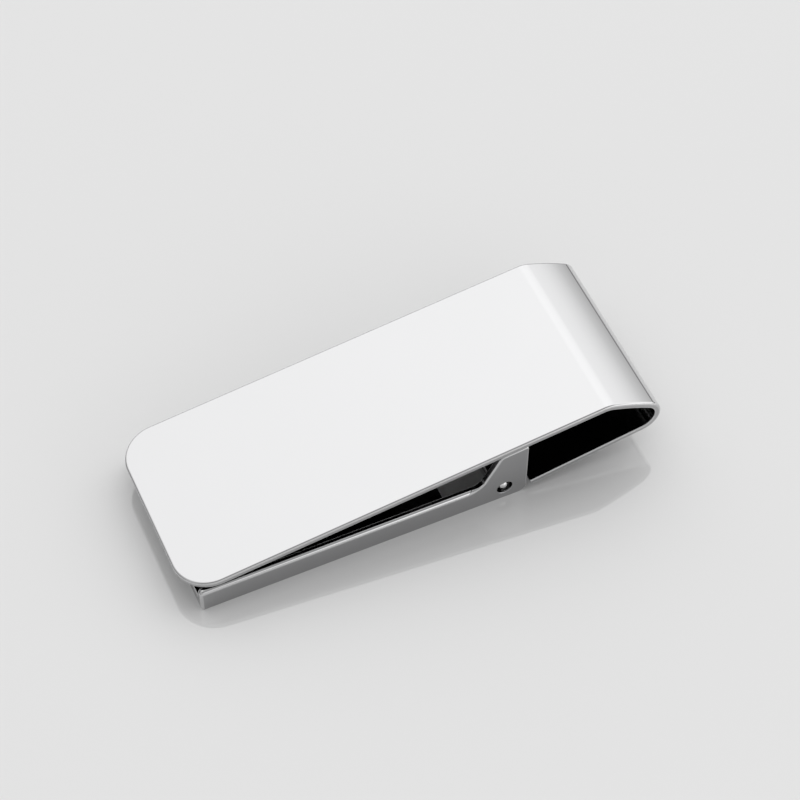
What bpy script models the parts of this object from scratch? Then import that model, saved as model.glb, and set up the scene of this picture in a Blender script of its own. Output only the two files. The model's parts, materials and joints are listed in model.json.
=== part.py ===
"""Hinged money clip: a spring body bent from one strip, a channel lever, and the pin that joins them.

Metres, +Z up. The clip lies on its lever. X runs from the free end (-X) to the spring bend (+X),
Y runs across, and the origin is at the centre of the base. The lever and the pin hang on an empty
on the hinge axis.
"""

import math

import bmesh
import bpy

# Overall sizes
WIDTH = 0.0224
FRONT_HEIGHT = 0.00448  # floor to the top of the face's front edge
FACE_TILT = math.radians(7.0)  # the face rises towards the bend
GAP = 0.0003  # between pieces that touch on a real clip

# Spring body, measured along the middle of its strip
STRIP = 0.0008
STRIP_ROUND = 0.00018
CORNER_RADIUS = 0.0043  # the face's two front corners, in plan
FACE_FLAT = 0.05065
CROWN_RADIUS = 0.002575
CROWN_TURN = math.radians(27.2)
RAMP_RADIUS = 0.028125
RAMP_TURN = math.radians(11.0)
RETURN_RADIUS = 0.002175
RETURN_TURN = math.radians(138.5)
SHOULDER_AHEAD = 0.00318  # from the hinge axis to where the leaf takes its full width
KNUCKLE_TURN = math.radians(280)

# Hinge
PIN_RADIUS = 0.0006
PIN_HEIGHT = 0.00193
PIN_FROM_FRONT = 0.03845
PIN_SUNK = 0.0001  # below the ears' outer faces
PIN_DOME = 0.0002
KNUCKLE_CLEARANCE = 0.0001
EYE_RADIUS = 0.00095  # the hole in each ear

# Lever
LEVER_WIDTH = 0.022
LEVER_SHEET = 0.0008
LEVER_ROUND = 0.0002
LEVER_SETBACK = 0.00165  # from the face's front edge to the lever's
WALL_HEIGHT = 0.0034
WALL_FRONT_RADIUS = 0.0006
LIP_HEIGHT = 0.0019  # the floor's front edge, turned up between the walls
EAR_FOOT = 0.03545  # from the face's front edge to where the ear rises
EAR_FOOT_RADIUS = 0.0018
EAR_SLOPE = math.radians(62)
EAR_BROW_RADIUS = 0.0009
EAR_BACK = 0.0028  # behind the hinge axis
EAR_HEEL_RADIUS = 0.0012
EAR_SWING_CLEARANCE = 0.0001
WINDOW_AHEAD = 0.0066  # floor's rear edge, ahead of the hinge axis

ARC_DEPTH = 0.000006  # how far a facet may lie from a true arc


def clear_scene():
    for obj in list(bpy.data.objects):
        bpy.data.objects.remove(obj)


def new_collection(name):
    collection = bpy.data.collections.new(name)
    bpy.context.scene.collection.children.link(collection)
    return collection


def steel(name, colour, roughness):
    material = bpy.data.materials.new(name)
    material.use_nodes = True
    shader = material.node_tree.nodes["Principled BSDF"]
    shader.inputs["Base Color"].default_value = (*colour, 1)
    shader.inputs["Metallic"].default_value = 1
    shader.inputs["Roughness"].default_value = roughness
    return material


def add_object(name, mesh, collection, material=None):
    obj = bpy.data.objects.new(name, mesh)
    collection.objects.link(obj)
    if material:
        mesh.materials.append(material)
        mesh.shade_smooth()
        mesh.set_sharp_from_angle(angle=math.radians(35))
    return obj


def add_bevel(obj, width, segments):
    bevel = obj.modifiers.new("round_edges", "BEVEL")
    bevel.width = width
    bevel.segments = segments
    bevel.limit_method = "ANGLE"
    bevel.angle_limit = math.radians(40)


def cut(obj, cutter):
    boolean = obj.modifiers.new(cutter.name, "BOOLEAN")
    boolean.operation = "DIFFERENCE"
    boolean.object = cutter


def arc_steps(radius, angle):
    return math.ceil(angle / math.acos(1 - ARC_DEPTH / radius) / 2)


# The spring body: the strip's middle line in side view, from the face's front edge to the knuckle


class Walk:
    """Walks a line in side view. It turns clockwise, which takes a rearward line down and round."""

    def __init__(self, x, z, heading):
        self.x, self.z, self.heading = x, z, heading
        self.stations = [(x, z)]

    def straight(self, length):
        self.x += length * math.cos(self.heading)
        self.z += length * math.sin(self.heading)
        self.stations.append((self.x, self.z))

    def turn(self, radius, angle):
        steps = arc_steps(radius, angle)
        for _ in range(steps):
            self.heading -= angle / steps / 2
            chord = 2 * radius * math.sin(angle / steps / 2)
            self.straight(chord)
            self.heading -= angle / steps / 2


def front_to_rear():
    """Walks the face and both bends, with x counted from the face's front edge."""
    lean = STRIP / 2
    walk = Walk(lean * math.sin(FACE_TILT), FRONT_HEIGHT - lean * math.cos(FACE_TILT), FACE_TILT)
    walk.straight(FACE_FLAT)
    walk.turn(CROWN_RADIUS, CROWN_TURN)
    walk.turn(RAMP_RADIUS, RAMP_TURN)
    walk.turn(RETURN_RADIUS, RETURN_TURN)
    return walk


LENGTH = max(x for x, _ in front_to_rear().stations) + STRIP / 2
FRONT = -LENGTH / 2
PIN_X = FRONT + PIN_FROM_FRONT


def add_leaf(walk):
    """Carries on along the leaf to its shoulders, and returns how many stations that makes."""
    leaf_length = (walk.x - PIN_FROM_FRONT - SHOULDER_AHEAD) / -math.cos(walk.heading)
    walk.straight(leaf_length)
    return len(walk.stations)


def add_knuckle(walk):
    """Bends the tongue down to run under the hinge axis, then curls it round the pin."""
    radius = PIN_RADIUS + KNUCKLE_CLEARANCE + STRIP / 2
    to_pin = (PIN_FROM_FRONT - walk.x, PIN_HEIGHT - walk.z)
    distance = math.hypot(*to_pin)
    walk.heading = math.atan2(to_pin[1], to_pin[0]) + math.asin(radius / distance)
    walk.straight(math.sqrt(distance**2 - radius**2))
    walk.turn(radius, KNUCKLE_TURN)


def corner_stations():
    """(distance from the front edge, half width) down the face's rounded front corners."""
    steps = arc_steps(CORNER_RADIUS, math.pi / 2)
    for step in range(steps + 1):
        angle = math.pi / 2 * step / steps
        yield (
            CORNER_RADIUS * (1 - math.cos(angle)),
            WIDTH / 2 - CORNER_RADIUS * (1 - math.sin(angle)),
        )


def make_spring_body(collection, material):
    walk = front_to_rear()
    full_width = add_leaf(walk)
    add_knuckle(walk)
    start_x, start_z = walk.stations[0]
    corners = [
        (start_x + s * math.cos(FACE_TILT), start_z + s * math.sin(FACE_TILT), half)
        for s, half in corner_stations()
    ]
    rows = corners + [(x, z, WIDTH / 2) for x, z in walk.stations[1:]]
    shoulder = len(corners) + full_width - 2  # the row where the leaf narrows to its tongue
    tongue_share = (LEVER_WIDTH - 2 * (LEVER_SHEET + GAP)) / WIDTH
    columns = (-1, -tongue_share, tongue_share, 1)

    bm = bmesh.new()
    bmesh.ops.create_grid(bm, x_segments=len(rows) - 1, y_segments=len(columns) - 1, size=0.5)
    places = {}
    for vert in bm.verts:
        row = round((vert.co.x + 0.5) * (len(rows) - 1))
        column = round((vert.co.y + 0.5) * (len(columns) - 1))
        places[vert] = (row, column)
    beside_tongue = [
        face
        for face in bm.faces
        if min(places[v][0] for v in face.verts) >= shoulder
        and {places[v][1] for v in face.verts} != {1, 2}
    ]
    for vert, (row, column) in places.items():
        x, z, half = rows[row]
        vert.co = (FRONT + x, columns[column] * half, z)
    bmesh.ops.delete(bm, geom=beside_tongue, context="FACES")
    mesh = bpy.data.meshes.new("spring_body")
    bm.to_mesh(mesh)
    bm.free()

    obj = add_object("spring_body", mesh, collection, material)
    solidify = obj.modifiers.new("strip", "SOLIDIFY")
    solidify.thickness = STRIP
    solidify.offset = 0
    solidify.use_even_offset = True
    add_bevel(obj, STRIP_ROUND, 2)
    return obj


# The lever


def fillet(before, corner, after, radius):
    """Points of the arc that rounds a corner between two straight lines."""
    (ax, az), (cx, cz), (bx, bz) = before, corner, after
    to_before = math.atan2(az - cz, ax - cx)
    to_after = math.atan2(bz - cz, bx - cx)
    opening = (to_after - to_before + math.pi) % math.tau - math.pi
    middle = to_before + opening / 2
    reach = radius / math.sin(abs(opening) / 2)
    centre = (cx + reach * math.cos(middle), cz + reach * math.sin(middle))
    sweep = math.copysign(math.pi - abs(opening), -opening)
    start = middle + math.pi - sweep / 2
    steps = arc_steps(radius, abs(sweep))
    angles = [start + sweep * step / steps for step in range(steps + 1)]
    return [(centre[0] + radius * math.cos(a), centre[1] + radius * math.sin(a)) for a in angles]


def rounded(corners):
    """The outline through (x, z, radius) corners, with each radius above zero made an arc."""
    points = []
    for index, (x, z, radius) in enumerate(corners):
        before = corners[index - 1][:2]
        after = corners[(index + 1) % len(corners)][:2]
        points += fillet(before, (x, z), after, radius) if radius else [(x, z)]
    return points


def lever_side():
    """The lever's outline in side view, with the hinge axis at (0, 0)."""
    front = LEVER_SETBACK - PIN_FROM_FRONT
    bottom = -PIN_HEIGHT
    wall_top = bottom + WALL_HEIGHT
    foot = EAR_FOOT - PIN_FROM_FRONT
    face_distance = (
        FRONT_HEIGHT + PIN_FROM_FRONT * math.tan(FACE_TILT) - PIN_HEIGHT
    ) * math.cos(FACE_TILT) - STRIP
    ear_distance = face_distance - GAP  # hinge axis to the ear's top edge, square to the face
    swing = face_distance - EAR_SWING_CLEARANCE
    normal = FACE_TILT + math.pi / 2

    # Where the ear's sloping front meets its top edge.
    slope = (math.cos(EAR_SLOPE), math.sin(EAR_SLOPE))
    facing = (math.cos(normal), math.sin(normal))
    reach = (ear_distance - foot * facing[0] - wall_top * facing[1]) / (
        slope[0] * facing[0] + slope[1] * facing[1]
    )
    brow = (foot + reach * slope[0], wall_top + reach * slope[1])

    # Behind the pin the top edge is an arc about the hinge axis, so that the ear turns under the face.
    arc_start = normal - math.acos(ear_distance / swing)
    arc_end = math.acos(EAR_BACK / swing)
    steps = arc_steps(swing, arc_start - arc_end)
    angles = [arc_start + (arc_end - arc_start) * step / steps for step in range(steps + 1)]
    arc = [(swing * math.cos(a), swing * math.sin(a), 0) for a in angles]

    return rounded(
        [
            (front, bottom, 0),
            (front, wall_top, WALL_FRONT_RADIUS),
            (foot, wall_top, EAR_FOOT_RADIUS),
            (*brow, EAR_BROW_RADIUS),
            *arc,
            (EAR_BACK, bottom, EAR_HEEL_RADIUS),
        ]
    )


def extruded(name, outline, width):
    """A mesh of a side-view outline, extruded across the clip."""
    curve = bpy.data.curves.new(name, "CURVE")
    curve.dimensions = "2D"
    curve.fill_mode = "BOTH"
    curve.extrude = width / 2
    spline = curve.splines.new("POLY")
    spline.points.add(len(outline) - 1)
    for point, (x, z) in zip(spline.points, outline):
        point.co = (x, z, 0, 1)
    spline.use_cyclic_u = True
    source = bpy.data.objects.new(name, curve)
    bpy.context.scene.collection.objects.link(source)
    source.rotation_euler = (math.pi / 2, 0, 0)
    bpy.context.view_layer.update()
    graph = bpy.context.evaluated_depsgraph_get()
    mesh = bpy.data.meshes.new_from_object(source.evaluated_get(graph))
    mesh.transform(source.matrix_world)
    bpy.data.objects.remove(source)
    bm = bmesh.new()
    bm.from_mesh(mesh)
    bmesh.ops.remove_doubles(bm, verts=bm.verts, dist=1e-7)
    bmesh.ops.recalc_face_normals(bm, faces=bm.faces)
    bm.to_mesh(mesh)
    bm.free()
    return mesh


def across_cylinder(name, radius, width, segments):
    """A cylinder along Y, centred on the hinge axis."""
    bm = bmesh.new()
    bmesh.ops.create_cone(
        bm, cap_ends=True, segments=segments, radius1=radius, radius2=radius, depth=width
    )
    mesh = bpy.data.meshes.new(name)
    bm.to_mesh(mesh)
    bm.free()
    for vert in mesh.vertices:
        x, y, z = vert.co
        vert.co = (x, -z, y)
    return mesh


def as_cutter(name, mesh, pivot, collection):
    obj = add_object(name, mesh, collection)
    obj.parent = pivot
    obj.hide_render = True
    obj.display_type = "WIRE"
    return obj


def make_lever(pivot, collection, cutters, material):
    obj = add_object("lever", extruded("lever", lever_side(), LEVER_WIDTH), collection, material)
    obj.parent = pivot
    inside = LEVER_WIDTH - 2 * LEVER_SHEET
    behind_lip = LEVER_SETBACK + LEVER_SHEET - PIN_FROM_FRONT
    lip_top = LIP_HEIGHT - PIN_HEIGHT
    floor_top = LEVER_SHEET - PIN_HEIGHT
    far = LENGTH
    channel = [
        (-far, lip_top),
        (behind_lip, lip_top),
        (behind_lip, floor_top),
        (-WINDOW_AHEAD, floor_top),
        (-WINDOW_AHEAD, -far),
        (far, -far),
        (far, far),
        (-far, far),
    ]
    channel_mesh = extruded("channel_cut", channel, inside)
    eye_mesh = across_cylinder("eye_cut", EYE_RADIUS, WIDTH * 2, 24)
    cut(obj, as_cutter("channel_cut", channel_mesh, pivot, cutters))
    cut(obj, as_cutter("eye_cut", eye_mesh, pivot, cutters))
    add_bevel(obj, LEVER_ROUND, 2)
    return obj


def make_hinge_pin(pivot, collection, material):
    mesh = across_cylinder("hinge_pin", PIN_RADIUS, LEVER_WIDTH - 2 * PIN_SUNK, 24)
    obj = add_object("hinge_pin", mesh, collection, material)
    obj.parent = pivot
    add_bevel(obj, PIN_DOME, 3)
    return obj


def main():
    clear_scene()
    clip = new_collection("money_clip")
    cutters = new_collection("cutters")
    pivot = bpy.data.objects.new("lever_pivot", None)
    clip.objects.link(pivot)
    pivot.location = (PIN_X, 0, PIN_HEIGHT)
    polished = steel("polished_strip", (0.80, 0.80, 0.81), 0.06)
    pressed = steel("polished_lever", (0.66, 0.66, 0.67), 0.12)
    turned = steel("turned_pin", (0.60, 0.60, 0.61), 0.2)
    make_spring_body(clip, polished)
    make_lever(pivot, clip, cutters, pressed)
    make_hinge_pin(pivot, clip, turned)
    bpy.context.view_layer.update()


main()
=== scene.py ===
"""Looks for the hinged money clip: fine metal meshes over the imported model, floor, light and camera."""

import json
import math

import bmesh
import bpy
from mathutils import Matrix, Vector


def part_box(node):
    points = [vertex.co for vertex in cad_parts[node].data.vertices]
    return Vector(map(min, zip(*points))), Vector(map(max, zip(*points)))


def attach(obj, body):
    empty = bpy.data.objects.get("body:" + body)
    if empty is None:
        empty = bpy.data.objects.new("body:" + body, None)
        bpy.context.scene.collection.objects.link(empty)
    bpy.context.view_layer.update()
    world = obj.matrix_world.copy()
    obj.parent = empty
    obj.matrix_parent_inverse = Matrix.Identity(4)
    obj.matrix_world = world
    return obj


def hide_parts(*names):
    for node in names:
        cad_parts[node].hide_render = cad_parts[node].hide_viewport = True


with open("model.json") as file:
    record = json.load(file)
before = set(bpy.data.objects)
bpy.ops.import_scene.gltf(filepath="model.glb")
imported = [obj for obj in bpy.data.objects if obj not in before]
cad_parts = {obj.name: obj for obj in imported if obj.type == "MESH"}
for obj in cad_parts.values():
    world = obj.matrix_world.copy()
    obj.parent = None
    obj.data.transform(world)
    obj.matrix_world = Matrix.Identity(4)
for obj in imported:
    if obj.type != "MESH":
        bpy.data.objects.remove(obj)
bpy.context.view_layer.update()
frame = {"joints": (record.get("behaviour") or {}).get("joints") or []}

MM = 0.001

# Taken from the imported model
BODY_LOW, BODY_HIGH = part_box("spring_body")
LEVER_LOW, LEVER_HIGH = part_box("lever")
PIN_LOW, PIN_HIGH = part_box("hinge_pin")
HINGE = Vector(frame["joints"][0]["pos_m"])
FRONT = BODY_LOW.x
WIDTH = BODY_HIGH.y - BODY_LOW.y
LEVER_WIDTH = LEVER_HIGH.y - LEVER_LOW.y

# Spring strip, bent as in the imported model
STRIP = 0.8 * MM
OUTER_ROUND = 0.3 * MM  # on the outer side's long edges
INNER_ROUND = 0.14 * MM
FRONT_HEIGHT = 4.48 * MM  # floor to the top of the face's front edge
FACE_TILT = math.radians(7.0)
CORNER_RADIUS = 4.3 * MM
FACE_FLAT = 50.65 * MM
CROWN_RADIUS = 2.575 * MM
CROWN_TURN = math.radians(27.2)
RAMP_RADIUS = 28.125 * MM
RAMP_TURN = math.radians(11.0)
RETURN_RADIUS = 2.175 * MM
RETURN_TURN = math.radians(138.5)
SHOULDER_AHEAD = 3.18 * MM  # from the hinge axis to where the leaf takes its full width
KNUCKLE_CLEARANCE = 0.1 * MM
KNUCKLE_TURN = math.radians(280)
PIN_RADIUS = (PIN_HIGH.z - PIN_LOW.z) / 2
PIN_DOME = 0.5 * MM
DOME_STEPS = 14

# Lever, with places along X counted from the hinge axis
LEVER_SHEET = 0.8 * MM
SIDE_GAP = 0.3 * MM  # between each wall and the tongue
LEVER_ROUND = 0.55 * MM  # along the walls' outer top edges
EAR_EDGE_SHARE = 0.4  # of that rounding, round the ears
OTHER_EDGE_SHARE = 0.25
ROUND_FADE = 1.0 * MM  # length over which one share passes into the other
WALL_HEIGHT = 3.4 * MM
WALL_FRONT_RADIUS = 0.6 * MM
LIP_HEIGHT = 1.9 * MM
EAR_FOOT = -3.0 * MM
EAR_FOOT_RADIUS = 1.8 * MM
EAR_FOOT_REACH = 1.1 * MM  # ahead of the ear's foot, where its arc starts
EAR_SLOPE = math.radians(62)
EAR_BROW_RADIUS = 0.9 * MM
EAR_TOP_GAP = 0.37 * MM  # under the face
EAR_BACK = 2.8 * MM
EAR_CORNER_RADIUS = 0.35 * MM
EAR_HEEL_RADIUS = 1.2 * MM
EYE_RADIUS = 0.95 * MM
EYE_CHAMFER = 0.08 * MM
WINDOW_AHEAD = 6.6 * MM  # to the floor's rear edge

# Fineness of the meshes
FINE_TURN = math.radians(3)
ROUND_SEGMENTS = 6
SPIN_STEPS = 72
FLAT_ENOUGH = math.radians(0.2)  # between faces that count as one flat
HARD_EDGE = math.radians(30)
SQUARE_EDGE = math.radians(50)
HAIR = 0.01 * MM  # slack in telling one surface from another
IN_BORE = 0.5  # a face of an eye's bore leans less than this towards Y
ON_CHAMFER = 0.9  # and one of its chamfer less than this

# Material slots of the strip and of the lever; the inside's slot holds near-black metal, painted shade
FACE_SLOT, SHADED_INSIDE_SLOT, EDGE_SLOT = range(3)

# Camera
LENS = 109.2
SENSOR = 36
AIM = Vector((HINGE.x - 5.2 * MM, 6.23 * MM, 0))
AZIMUTH = math.radians(24.59)
ELEVATION = math.radians(54.0)
DISTANCE = 283.1 * MM
ROLL = math.radians(0.42)

# Metal surfaces, in features per metre of the object
CLOUDS = 90.0
BUFFING = (60.0, 2600.0, 2600.0)
WAVES = 160.0
CLOUD_SHADE = 0.985  # of the metal's colour, where the clouds are darkest

FLOOR_HALF = 2.5
BACKDROP = 0.78  # brightness of the sky where the camera sees it


# Meshes


def link(name, mesh):
    obj = bpy.data.objects.new(name, mesh)
    bpy.context.scene.collection.objects.link(obj)
    return obj


def add_slots(mesh):
    """Makes room for the materials, so that each face can be given its slot before they are made."""
    for _ in (FACE_SLOT, SHADED_INSIDE_SLOT, EDGE_SLOT):
        mesh.materials.append(None)


def fill_slots(obj, metals):
    for slot, metal in enumerate(metals):
        obj.data.materials[slot] = metal


def round_edges(obj, width, slot):
    """Rounds the weighted edges for good, and gives the roundings to a material slot."""
    bevel = obj.modifiers.new("round_edges", "BEVEL")
    bevel.width = width
    bevel.segments = ROUND_SEGMENTS
    bevel.limit_method = "WEIGHT"
    bevel.material = slot
    bevel.use_clamp_overlap = False
    bevel.miter_outer = "MITER_ARC"
    obj.data = evaluated(obj)
    obj.modifiers.clear()


def keep_flats_flat(obj):
    """Smooths the shading of the roundings and leaves the flats beside them optically flat."""
    normals = obj.modifiers.new("flat_faces", "WEIGHTED_NORMAL")
    normals.keep_sharp = False
    normals.weight = 100
    obj.data.shade_smooth()


def steps_for(angle):
    return max(2, math.ceil(abs(angle) / FINE_TURN))


class Walk:
    """Walks the strip's middle line in side view, turning clockwise."""

    def __init__(self, x, z, heading):
        self.x, self.z, self.heading = x, z, heading
        self.stations = [(x, z)]

    def straight(self, length):
        self.x += length * math.cos(self.heading)
        self.z += length * math.sin(self.heading)
        self.stations.append((self.x, self.z))

    def turn(self, radius, angle):
        steps = steps_for(angle)
        for _ in range(steps):
            self.heading -= angle / steps / 2
            self.straight(2 * radius * math.sin(angle / steps / 2))
            self.heading -= angle / steps / 2


def strip_walk():
    """The strip's middle line, and the number of its stations up to the leaf's shoulders."""
    start_x = FRONT + STRIP / 2 * math.sin(FACE_TILT)
    walk = Walk(start_x, FRONT_HEIGHT - STRIP / 2 * math.cos(FACE_TILT), FACE_TILT)
    walk.straight(FACE_FLAT)
    walk.turn(CROWN_RADIUS, CROWN_TURN)
    walk.turn(RAMP_RADIUS, RAMP_TURN)
    walk.turn(RETURN_RADIUS, RETURN_TURN)
    walk.straight((walk.x - HINGE.x - SHOULDER_AHEAD) / -math.cos(walk.heading))
    to_shoulder = len(walk.stations)
    radius = PIN_RADIUS + KNUCKLE_CLEARANCE + STRIP / 2
    to_pin = (HINGE.x - walk.x, HINGE.z - walk.z)
    distance = math.hypot(*to_pin)
    walk.heading = math.atan2(to_pin[1], to_pin[0]) + math.asin(radius / distance)
    walk.straight(math.sqrt(distance**2 - radius**2))
    walk.turn(radius, KNUCKLE_TURN)
    return walk, to_shoulder


def make_spring_body():
    walk, to_shoulder = strip_walk()
    start_x, start_z = walk.stations[0]
    rows = []
    steps = steps_for(math.pi / 2)
    for step in range(steps + 1):
        angle = math.pi / 2 * step / steps
        along = CORNER_RADIUS * (1 - math.cos(angle))
        half = WIDTH / 2 - CORNER_RADIUS * (1 - math.sin(angle))
        rows.append(
            (start_x + along * math.cos(FACE_TILT), start_z + along * math.sin(FACE_TILT), half)
        )
    shoulder = len(rows) + to_shoulder - 2
    rows += [(x, z, WIDTH / 2) for x, z in walk.stations[1:]]
    tongue_share = (LEVER_WIDTH - 2 * (LEVER_SHEET + SIDE_GAP)) / WIDTH
    columns = (-1, -tongue_share, tongue_share, 1)
    bm = bmesh.new()
    bmesh.ops.create_grid(bm, x_segments=len(rows) - 1, y_segments=len(columns) - 1, size=0.5)
    places = {}
    for vert in bm.verts:
        row = round((vert.co.x + 0.5) * (len(rows) - 1))
        column = round((vert.co.y + 0.5) * (len(columns) - 1))
        places[vert] = (row, column)
    beside_tongue = [
        face
        for face in bm.faces
        if min(places[v][0] for v in face.verts) >= shoulder
        and {places[v][1] for v in face.verts} != {1, 2}
    ]
    for vert, (row, column) in places.items():
        x, z, half = rows[row]
        vert.co = (x, columns[column] * half, z)
    bmesh.ops.delete(bm, geom=beside_tongue, context="FACES")
    mesh = bpy.data.meshes.new("spring_strip")
    bm.to_mesh(mesh)
    bm.free()
    obj = link("spring_strip", mesh)
    solidify = obj.modifiers.new("strip", "SOLIDIFY")
    solidify.thickness = STRIP
    solidify.offset = 0
    solidify.use_even_offset = True
    # The strip's inner side takes the inside's slot, whose near-black metal is painted shade.
    solidify.material_offset = SHADED_INSIDE_SLOT
    solidify.material_offset_rim = EDGE_SLOT
    add_slots(mesh)
    obj.data = evaluated(obj)
    obj.modifiers.clear()
    weigh_edges(obj.data)
    round_edges(obj, OUTER_ROUND, FACE_SLOT)
    keep_flats_flat(obj)
    return obj


def evaluated(obj):
    graph = bpy.context.evaluated_depsgraph_get()
    return bpy.data.meshes.new_from_object(obj.evaluated_get(graph))


def weigh_edges(mesh):
    """Weights the strip's edges for the bevel: full on its outer side, less on its inner side."""
    bm = bmesh.new()
    bm.from_mesh(mesh)
    bmesh.ops.dissolve_limit(
        bm, angle_limit=FLAT_ENOUGH, verts=bm.verts, edges=bm.edges, delimit={"MATERIAL"}
    )
    weights = bm.edges.layers.float.new("bevel_weight_edge")
    for edge in bm.edges:
        sides = {face.material_index for face in edge.link_faces}
        if sides == {FACE_SLOT, EDGE_SLOT}:
            edge[weights] = 1
        elif sides == {SHADED_INSIDE_SLOT, EDGE_SLOT} or edge.calc_face_angle(0) > SQUARE_EDGE:
            edge[weights] = INNER_ROUND / OUTER_ROUND
    bm.to_mesh(mesh)
    bm.free()


def fillet(before, corner, after, radius):
    """Points of the arc that rounds a corner between two straight lines."""
    (ax, az), (cx, cz), (bx, bz) = before, corner, after
    to_before = math.atan2(az - cz, ax - cx)
    to_after = math.atan2(bz - cz, bx - cx)
    opening = (to_after - to_before + math.pi) % math.tau - math.pi
    middle = to_before + opening / 2
    reach = radius / math.sin(abs(opening) / 2)
    centre = (cx + reach * math.cos(middle), cz + reach * math.sin(middle))
    sweep = math.copysign(math.pi - abs(opening), -opening)
    start = middle + math.pi - sweep / 2
    steps = steps_for(sweep)
    angles = [start + sweep * step / steps for step in range(steps + 1)]
    return [(centre[0] + radius * math.cos(a), centre[1] + radius * math.sin(a)) for a in angles]


def rounded(corners):
    """The outline through (x, z, radius) corners, each rounded by its radius."""
    points = []
    for index, (x, z, radius) in enumerate(corners):
        before = corners[index - 1][:2]
        after = corners[(index + 1) % len(corners)][:2]
        points += fillet(before, (x, z), after, radius) if radius else [(x, z)]
    return points


def lever_side():
    """The lever's outline in side view, from the hinge axis. The ear's top edge runs along the face."""
    front = LEVER_LOW.x - HINGE.x
    bottom = -HINGE.z
    wall_top = bottom + WALL_HEIGHT
    under_face = (
        FRONT_HEIGHT + (HINGE.x - FRONT) * math.tan(FACE_TILT) - HINGE.z
    ) * math.cos(FACE_TILT) - STRIP
    ear_top = under_face - EAR_TOP_GAP
    along = Vector((math.cos(FACE_TILT), math.sin(FACE_TILT)))
    normal = Vector((-math.sin(FACE_TILT), math.cos(FACE_TILT)))
    slope = Vector((math.cos(EAR_SLOPE), math.sin(EAR_SLOPE)))
    foot = Vector((EAR_FOOT, wall_top))
    brow = foot + slope * ((ear_top - foot.dot(normal)) / slope.dot(normal))
    back_top = normal * ear_top
    back_top += along * ((EAR_BACK - back_top.x) / along.x)
    return rounded(
        [
            (front, bottom, 0),
            (front, wall_top, WALL_FRONT_RADIUS),
            (*foot, EAR_FOOT_RADIUS),
            (*brow, EAR_BROW_RADIUS),
            (*back_top, EAR_CORNER_RADIUS),
            (EAR_BACK, bottom, EAR_HEEL_RADIUS),
        ]
    )


def extruded(name, outline, width):
    """A mesh of a side-view outline from the hinge axis, extruded across the clip."""
    bm = bmesh.new()
    verts = [bm.verts.new((HINGE.x + x, -width / 2, HINGE.z + z)) for x, z in outline]
    side = bm.faces.new(verts)
    grown = bmesh.ops.extrude_face_region(bm, geom=[side])
    moved = [item for item in grown["geom"] if isinstance(item, bmesh.types.BMVert)]
    bmesh.ops.translate(bm, verts=moved, vec=(0, width, 0))
    bmesh.ops.recalc_face_normals(bm, faces=bm.faces)
    mesh = bpy.data.meshes.new(name)
    bm.to_mesh(mesh)
    bm.free()
    return mesh


def spun(name, profile):
    """A mesh of a (radius, y) profile, spun about the hinge axis."""
    bm = bmesh.new()
    verts = [bm.verts.new((radius, y, 0)) for radius, y in profile]
    edges = [bm.edges.new(pair) for pair in zip(verts, verts[1:])]
    bmesh.ops.spin(
        bm,
        geom=verts + edges,
        cent=(0, 0, 0),
        axis=(0, 1, 0),
        angle=math.tau,
        steps=SPIN_STEPS,
        use_merge=True,
    )
    bmesh.ops.remove_doubles(bm, verts=bm.verts, dist=1e-8)
    bmesh.ops.recalc_face_normals(bm, faces=bm.faces)
    mesh = bpy.data.meshes.new(name)
    bm.to_mesh(mesh)
    bm.free()
    mesh.transform(Matrix.Translation(HINGE))
    return mesh


def eye_profile():
    """The eyes with their chamfered rims, as a cutter's profile."""
    side = LEVER_WIDTH / 2
    wide = EYE_RADIUS + 2 * EYE_CHAMFER
    half = [(EYE_RADIUS, side - EYE_CHAMFER), (wide, side + EYE_CHAMFER), (0, side + EYE_CHAMFER)]
    return [(radius, -y) for radius, y in reversed(half)] + half


def cut(obj, name, mesh):
    """Cuts a mesh out of obj for good and removes the cutter."""
    cutter = link(name, mesh)
    boolean = obj.modifiers.new(name, "BOOLEAN")
    boolean.operation = "DIFFERENCE"
    boolean.object = cutter
    obj.data = evaluated(obj)
    obj.modifiers.clear()
    bpy.data.objects.remove(cutter)


def make_lever():
    obj = link("lever_channel", extruded("lever_channel", lever_side(), LEVER_WIDTH))
    inside = LEVER_WIDTH - 2 * LEVER_SHEET
    behind_lip = LEVER_LOW.x + LEVER_SHEET - HINGE.x
    lip_top = LIP_HEIGHT - HINGE.z
    floor_top = LEVER_SHEET - HINGE.z
    far = WIDTH * 3
    channel = [
        (-far, lip_top),
        (behind_lip, lip_top),
        (behind_lip, floor_top),
        (-WINDOW_AHEAD, floor_top),
        (-WINDOW_AHEAD, -far),
        (far, -far),
        (far, far),
        (-far, far),
    ]
    cut(obj, "channel_cut", extruded("channel_cut", channel, inside))
    add_slots(obj.data)
    mark_inside(obj.data)
    weigh_lever_edges(obj.data)
    # The roundings get the edge slot, which is filled with the brighter strip metal: a painted highlight
    # along the lever's edges.
    round_edges(obj, LEVER_ROUND, EDGE_SLOT)
    cut(obj, "eye_cut", spun("eye_cut", eye_profile()))
    mark_eyes(obj.data)
    keep_flats_flat(obj)
    return obj


def mark_inside(mesh):
    """Gives the faces inside the channel their slot, whose near-black metal is painted shade."""
    for face in mesh.polygons:
        centre = face.center
        beside = abs(centre.y) > LEVER_WIDTH / 2 - LEVER_SHEET + HAIR
        behind_lip = centre.z > LEVER_SHEET / 2 and centre.x > LEVER_LOW.x + LEVER_SHEET / 2
        face.material_index = SHADED_INSIDE_SLOT if behind_lip and not beside else FACE_SLOT


def mark_eyes(mesh):
    """Gives the bores of the two eyes the inside's slot of painted shade, and their chamfered rims the
    wall's.
    """
    for face in mesh.polygons:
        from_axis = math.hypot(face.center.x - HINGE.x, face.center.z - HINGE.z)
        lean = abs(face.normal.y)
        if from_axis < EYE_RADIUS + EYE_CHAMFER and lean < ON_CHAMFER:
            face.material_index = SHADED_INSIDE_SLOT if lean < IN_BORE else FACE_SLOT


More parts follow.
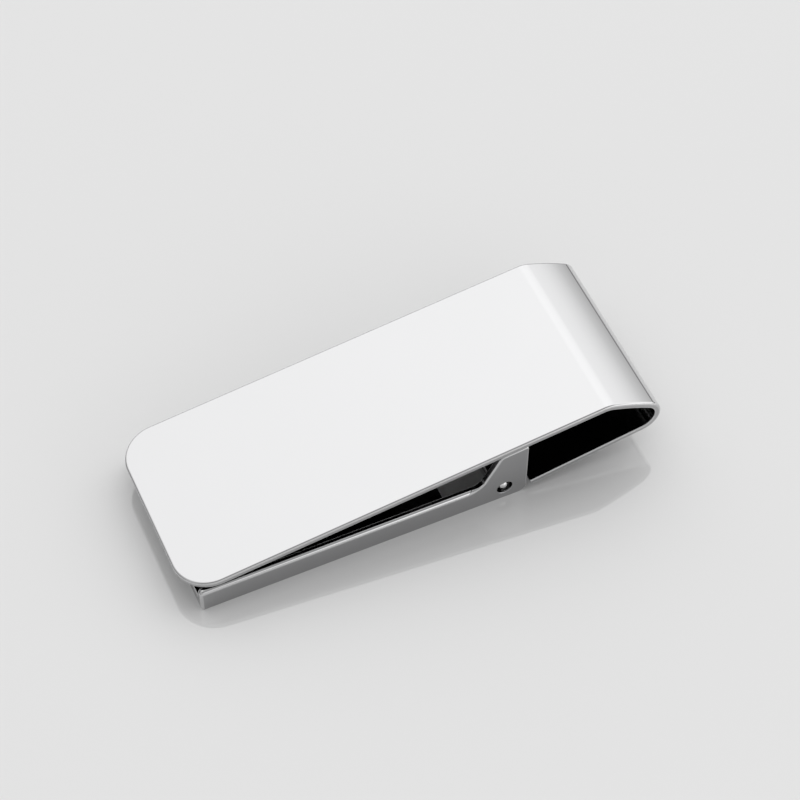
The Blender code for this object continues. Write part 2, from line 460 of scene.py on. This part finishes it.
def weigh_lever_edges(mesh):
    """Weights the bevel: full along the walls' outer top edges, less elsewhere."""
    bm = bmesh.new()
    bm.from_mesh(mesh)
    weights = bm.edges.layers.float.new("bevel_weight_edge")
    wall_start = LEVER_LOW.x + WALL_FRONT_RADIUS
    wall_end = HINGE.x + EAR_FOOT - EAR_FOOT_REACH
    for edge in bm.edges:
        middle = (edge.verts[0].co + edge.verts[1].co) / 2
        if edge.calc_face_angle(0) < HARD_EDGE:
            continue
        outer = all(abs(vert.co.y) > LEVER_WIDTH / 2 - HAIR for vert in edge.verts)
        if not outer or middle.z < WALL_HEIGHT / 2 and middle.x > wall_start:
            edge[weights] = OTHER_EDGE_SHARE
            continue
        beyond = max(wall_start - middle.x, middle.x - wall_end, 0) / ROUND_FADE
        edge[weights] = max(EAR_EDGE_SHARE, 1 - beyond * (1 - EAR_EDGE_SHARE))
    bm.to_mesh(mesh)
    bm.free()


def make_pin():
    """A turned pin with domed ends."""
    half = (PIN_HIGH.y - PIN_LOW.y) / 2
    end = []
    for step in range(DOME_STEPS + 1):
        angle = math.pi / 2 * step / DOME_STEPS
        radius = PIN_RADIUS * math.cos(angle) if step < DOME_STEPS else 0
        end.append((radius, half - PIN_DOME * (1 - math.sin(angle))))
    profile = [(radius, -y) for radius, y in reversed(end)] + end
    obj = link("turned_pin", spun("turned_pin", profile))
    obj.data.shade_smooth()
    return obj


# Materials


class Nodes:
    """Builds a node tree without repeating the linking."""

    def __init__(self, tree):
        self.tree = tree
        tree.nodes.clear()

    def add(self, kind, inputs=(), **settings):
        node = self.tree.nodes.new(kind)
        for key, value in settings.items():
            setattr(node, key, value)
        for key, value in dict(inputs).items():
            if isinstance(value, bpy.types.NodeSocket):
                self.tree.links.new(value, node.inputs[key])
            else:
                node.inputs[key].default_value = value
        return node


def polished(name, colour, roughness, haze, ripple):
    """Polished metal: a faint cloudiness in its gloss, fine buffing lines and a very slight waviness.

    The haze is how far the gloss strays from its roughness, and the ripple is the waves' height.
    """
    material = bpy.data.materials.new(name)
    material.use_nodes = True
    n = Nodes(material.node_tree)
    place = n.add("ShaderNodeTexCoord").outputs["Object"]
    clouds = n.add("ShaderNodeTexNoise", {"Vector": place, "Scale": CLOUDS, "Detail": 3.0})
    stretched = n.add("ShaderNodeMapping", {"Vector": place, "Scale": BUFFING})
    lines = n.add("ShaderNodeTexNoise", {"Vector": stretched.outputs[0], "Scale": 1.0, "Detail": 2.0})
    gloss = n.add(
        "ShaderNodeMapRange",
        {"Value": clouds.outputs["Fac"], "To Min": roughness - haze, "To Max": roughness + haze},
    )
    gloss_lines = n.add(
        "ShaderNodeMapRange",
        {"Value": lines.outputs["Fac"], "To Min": -haze / 2, "To Max": haze / 2},
    )
    gloss_sum = n.add("ShaderNodeMath", {0: gloss.outputs[0], 1: gloss_lines.outputs[0]})
    low = tuple(c * CLOUD_SHADE for c in colour)
    tint = n.add(
        "ShaderNodeMix",
        {"Factor": clouds.outputs["Fac"], "A": (*low, 1), "B": (*colour, 1)},
        data_type="RGBA",
    )
    waves = n.add("ShaderNodeTexNoise", {"Vector": place, "Scale": WAVES, "Detail": 1.0})
    bump = n.add(
        "ShaderNodeBump", {"Height": waves.outputs["Fac"], "Strength": 1.0, "Distance": ripple}
    )
    shader = n.add(
        "ShaderNodeBsdfPrincipled",
        {
            "Metallic": 1.0,
            "Base Color": tint.outputs["Result"],
            "Roughness": gloss_sum.outputs[0],
            "Normal": bump.outputs[0],
        },
    )
    n.add("ShaderNodeOutputMaterial", {"Surface": shader.outputs[0]})
    return material


# Stage


def make_floor():
    """A pale glossy surface."""
    bm = bmesh.new()
    bmesh.ops.create_grid(bm, x_segments=1, y_segments=1, size=FLOOR_HALF)
    mesh = bpy.data.meshes.new("floor")
    bm.to_mesh(mesh)
    bm.free()
    floor = link("floor", mesh)
    material = bpy.data.materials.new("floor_acrylic")
    material.use_nodes = True
    shader = material.node_tree.nodes["Principled BSDF"]
    shader.inputs["Base Color"].default_value = (0.77, 0.77, 0.77, 1)
    shader.inputs["Roughness"].default_value = 0.02
    shader.inputs["Specular IOR Level"].default_value = 1.0
    mesh.materials.append(material)


def make_world():
    """A studio dome: brightest above and beyond the bend, dark at the horizon and round the camera.

    Light comes from +X beyond the bend, the camera stands towards -Y, and the clip's front faces -X.
    """
    world = bpy.data.worlds.new("studio")
    bpy.context.scene.world = world
    world.use_nodes = True
    n = Nodes(world.node_tree)
    way = n.add("ShaderNodeTexCoord").outputs["Generated"]
    part = n.add("ShaderNodeSeparateXYZ", {0: way}).outputs

    def ramp(value, low, high, at_low, at_high, kind="SMOOTHSTEP"):
        return n.add(
            "ShaderNodeMapRange",
            {"Value": value, "From Min": low, "From Max": high, "To Min": at_low, "To Max": at_high},
            interpolation_type=kind,
        ).outputs[0]

    def math_node(operation, first, second=0.0):
        return n.add("ShaderNodeMath", {0: first, 1: second}, operation=operation).outputs[0]

    rise = math_node("MAXIMUM", part["Z"], 0.004)
    camera_side = ramp(part["Y"], 0.15, -0.45, 0.0, 1.0)
    haze = ramp(part["Y"], 0.15, -0.45, -0.18, -0.035)
    horizon = math_node("SUBTRACT", 1.0, math_node("EXPONENT", math_node("DIVIDE", rise, haze)))
    along = ramp(part["X"], -0.6, 0.3, 1.42, 1.87, "LINEAR")
    camera_height = ramp(part["Z"], 0.3, 0.55, 0.0, 0.72)
    camera_left = ramp(part["X"], 0.12, 0.28, 0.4, 0.0)
    camera_dark = math_node("MAXIMUM", camera_height, camera_left)
    front_dark = ramp(part["X"], -0.45, -0.65, 0.0, 0.45)
    dark = math_node("MAXIMUM", math_node("MULTIPLY", camera_side, camera_dark), front_dark)
    shade = math_node("SUBTRACT", 1.0, dark)
    light = math_node("MULTIPLY", math_node("MULTIPLY", horizon, along), shade)
    path = n.add("ShaderNodeLightPath").outputs["Is Camera Ray"]
    shown = n.add("ShaderNodeMix", {"Factor": path, "A": light, "B": BACKDROP}, data_type="FLOAT")
    background = n.add("ShaderNodeBackground", {"Strength": shown.outputs["Result"]})
    n.add("ShaderNodeOutputWorld", {"Surface": background.outputs[0]})


def make_camera():
    data = bpy.data.cameras.new("camera")
    data.lens = LENS
    data.sensor_width = SENSOR
    data.clip_start = 0.01
    data.clip_end = 10
    camera = link("camera", data)
    ahead = Vector(
        (
            math.sin(AZIMUTH) * math.cos(ELEVATION),
            math.cos(AZIMUTH) * math.cos(ELEVATION),
            -math.sin(ELEVATION),
        )
    )
    turn = ahead.to_track_quat("-Z", "Y").to_matrix() @ Matrix.Rotation(ROLL, 3, "Z")
    camera.matrix_world = Matrix.Translation(AIM - ahead * DISTANCE) @ turn.to_4x4()
    bpy.context.scene.camera = camera


def main():
    scene = bpy.context.scene
    scene.view_settings.view_transform = "Standard"
    strip_metal = polished("polished_strip", (0.63, 0.63, 0.635), 0.05, haze=0.012, ripple=6e-8)
    rim_metal = polished("sheared_rim", (0.5, 0.5, 0.505), 0.1, haze=0.02, ripple=1e-7)
    # The lever's faces take this darker copy of the strip's metal, painted shade on its walls.
    lever_shaded_metal = polished("polished_lever", (0.42, 0.42, 0.425), 0.1, haze=0.02, ripple=1e-7)
    # Near-black metal for the insides and the eye bores: painted shade.
    inside_shade_metal = polished("painted_shade_inside", (0.13, 0.13, 0.132), 0.16, haze=0.03, ripple=1e-7)
    pin_metal = polished("turned_pin", (0.75, 0.75, 0.755), 0.1, haze=0.03, ripple=1e-7)

    strip = make_spring_body()
    fill_slots(strip, (strip_metal, inside_shade_metal, rim_metal))
    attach(strip, "spring")
    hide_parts("spring_body")

    lever = make_lever()
    # The lever's roundings take the brighter strip metal, a painted highlight against its darker faces.
    fill_slots(lever, (lever_shaded_metal, inside_shade_metal, strip_metal))
    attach(lever, "lever")
    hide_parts("lever")

    pin = make_pin()
    pin.data.materials.append(pin_metal)
    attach(pin, "lever")
    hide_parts("hinge_pin")

    make_floor()
    make_world()
    make_camera()


main()
